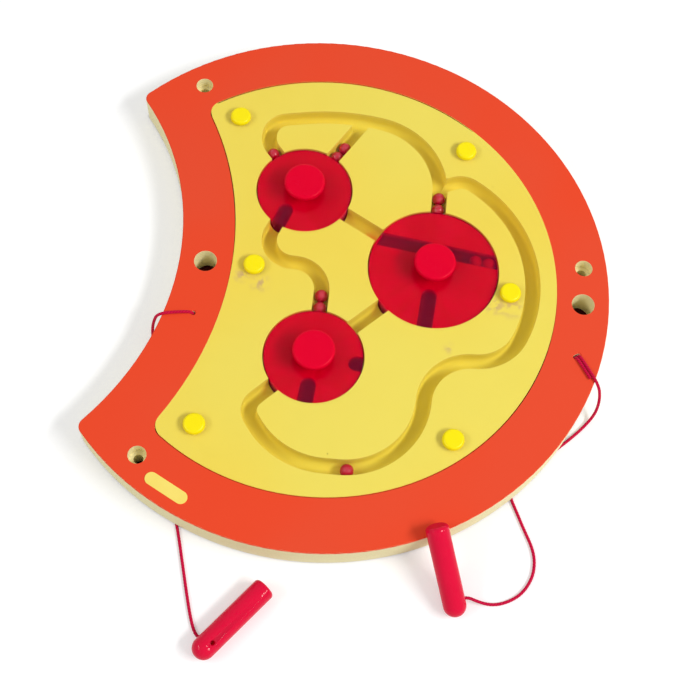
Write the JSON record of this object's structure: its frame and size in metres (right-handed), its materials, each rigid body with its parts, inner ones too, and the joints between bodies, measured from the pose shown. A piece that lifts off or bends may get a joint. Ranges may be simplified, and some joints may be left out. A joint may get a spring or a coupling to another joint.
{
  "type": "wall maze toy",
  "caption": "Crescent wooden wall panel with a routed ball maze under a clear cover, slotted turntables with knobs, and corded magnet wands with holders.",
  "frame": {"origin": "on the wall plane, at the middle of the central pad's face, on the axis of the panel's outer arc", "axes": "+Z points out of the wall, +Y is up on the wall, and the crescent's bite is on -X"},
  "size_m": [0.4795, 0.6464, 0.0563],
  "materials": {
    "panel_ply": "natural plywood",
    "frame_orange": "orange lacquered plywood, pale edges",
    "maze_yellow": "yellow stained plywood with routed grooves",
    "cover_clear": "clear polished sheet",
    "steel": "plain steel",
    "cup_plastic": "moulded",
    "cap_yellow": "moulded yellow",
    "nylon": "natural nylon",
    "pad_rubber": "soft black",
    "badge_yellow": "bare yellow label",
    "cord_red": "woven cord",
    "disc_red": "red, dark slots",
    "plate_red": "translucent red sheet",
    "knob_red": "moulded red",
    "insert_brass": "brass",
    "ball_red": "gloss dark red",
    "wand_red": "red lacquered dowel",
    "magnet_red": "magnet under red lacquer"
  },
  "bodies": {
    "panel": {"back_board": "panel_ply", "frame_board": "frame_orange", "maze_board": "maze_yellow", "clear_cover": "cover_clear", "cover_screws": "steel", "cup_washers": "cup_plastic", "snap_caps": "cap_yellow", "axle_bushes": "nylon", "wall_spacers": "pad_rubber", "wall_pads": "pad_rubber", "blank_badge": "badge_yellow", "left_cord": "cord_red", "right_cord": "cord_red", "right_cord_tail": "cord_red", "left_cord_knot": "cord_red", "right_cord_knot": "cord_red"},
    "upper_turntable": {"upper_turntable_disc": "disc_red", "upper_turntable_plate": "plate_red", "upper_knob": "knob_red", "upper_knob_insert": "insert_brass", "upper_axle_bolt": "steel", "upper_axle_washer": "steel"},
    "large_turntable": {"large_turntable_disc": "disc_red", "large_turntable_plate": "plate_red", "large_knob": "knob_red", "large_knob_insert": "insert_brass", "large_axle_bolt": "steel", "large_axle_washer": "steel"},
    "lower_turntable": {"lower_turntable_disc": "disc_red", "lower_turntable_plate": "plate_red", "lower_knob": "knob_red", "lower_knob_insert": "insert_brass", "lower_axle_bolt": "steel", "lower_axle_washer": "steel"},
    "ball_1": {"ball_1": "ball_red"},
    "ball_2": {"ball_2": "ball_red"},
    "ball_3": {"ball_3": "ball_red"},
    "ball_4": {"ball_4": "ball_red"},
    "ball_5": {"ball_5": "ball_red"},
    "ball_6": {"ball_6": "ball_red"},
    "ball_7": {"ball_7": "ball_red"},
    "ball_8": {"ball_8": "ball_red"},
    "ball_9": {"ball_9": "ball_red"},
    "ball_10": {"ball_10": "ball_red"},
    "left_wand": {"left_wand": "wand_red", "left_wand_magnet": "magnet_red"},
    "right_wand": {"right_wand": "wand_red", "right_wand_magnet": "magnet_red"}
  },
  "joints": [
    {"name": "upper_turntable_spin", "type": "hinge", "parent": "panel", "child": "upper_turntable", "pos_m": [-0.03099, 0.09166, 0.034], "axis": [0, 0, 1], "continuous": true},
    {"name": "large_turntable_spin", "type": "hinge", "parent": "panel", "child": "large_turntable", "pos_m": [0.10329, 0.019, 0.034], "axis": [0, 0, 1], "continuous": true},
    {"name": "lower_turntable_spin", "type": "hinge", "parent": "panel", "child": "lower_turntable", "pos_m": [-0.0016, -0.08671, 0.034], "axis": [0, 0, 1], "continuous": true},
    {"name": "ball_1_run", "type": "hinge", "parent": "panel", "child": "ball_1", "pos_m": [-0.0487, 0.15057, 0.02415], "axis": [0, 0, 1], "range_deg": [-40, 0]},
    {"name": "ball_2_run", "type": "slide", "parent": "panel", "child": "ball_2", "axis": [0.5075, 0.8616, 0], "range_m": [0, 0.03]},
    {"name": "ball_3_run", "type": "slide", "parent": "panel", "child": "ball_3", "axis": [0.5075, 0.8616, 0], "range_m": [0, 0.03]},
    {"name": "ball_4_run", "type": "hinge", "parent": "panel", "child": "ball_4", "pos_m": [0.0272, 0.1033, 0.02415], "axis": [0, 0, 1], "range_deg": [0, 80]},
    {"name": "ball_5_run", "type": "slide", "parent": "panel", "child": "ball_5", "axis": [0, 1, 0], "range_m": [0, 0.013]},
    {"name": "ball_6_run", "type": "slide", "parent": "large_turntable", "child": "ball_6", "axis": [-0.994, 0.1097, 0], "range_m": [0, 0.0905]},
    {"name": "ball_7_run", "type": "slide", "parent": "large_turntable", "child": "ball_7", "axis": [-0.994, 0.1097, 0], "range_m": [0, 0.0905]},
    {"name": "ball_8_run", "type": "hinge", "parent": "panel", "child": "ball_8", "pos_m": [-0.02959, -0.0192, 0.02415], "axis": [0, 0, 1], "range_deg": [0, 85]},
    {"name": "ball_9_run", "type": "slide", "parent": "panel", "child": "ball_9", "axis": [0, 1, 0], "range_m": [0, 0.013]},
    {"name": "ball_10_run", "type": "hinge", "parent": "panel", "child": "ball_10", "pos_m": [0.03112, -0.11936, 0.02415], "axis": [0, 0, 1], "range_deg": [-6, 78]},
    {"name": "left_wand_lift", "type": "slide", "parent": "panel", "child": "left_wand", "axis": [0, 0, 1], "range_m": [0, 0.1], "deforming": ["left_cord"]},
    {"name": "right_wand_lift", "type": "slide", "parent": "panel", "child": "right_wand", "axis": [0, 0, 1], "range_m": [0, 0.1], "deforming": ["right_cord"]}
  ],
  "couplings": [
    {"joint": "ball_3_run", "follows": "ball_2_run", "ratio": 1},
    {"joint": "ball_5_run", "follows": "ball_4_run", "m_per_rad": 0.0092},
    {"joint": "ball_7_run", "follows": "ball_6_run", "ratio": 1},
    {"joint": "ball_9_run", "follows": "ball_8_run", "m_per_rad": 0.0086}
  ]
}
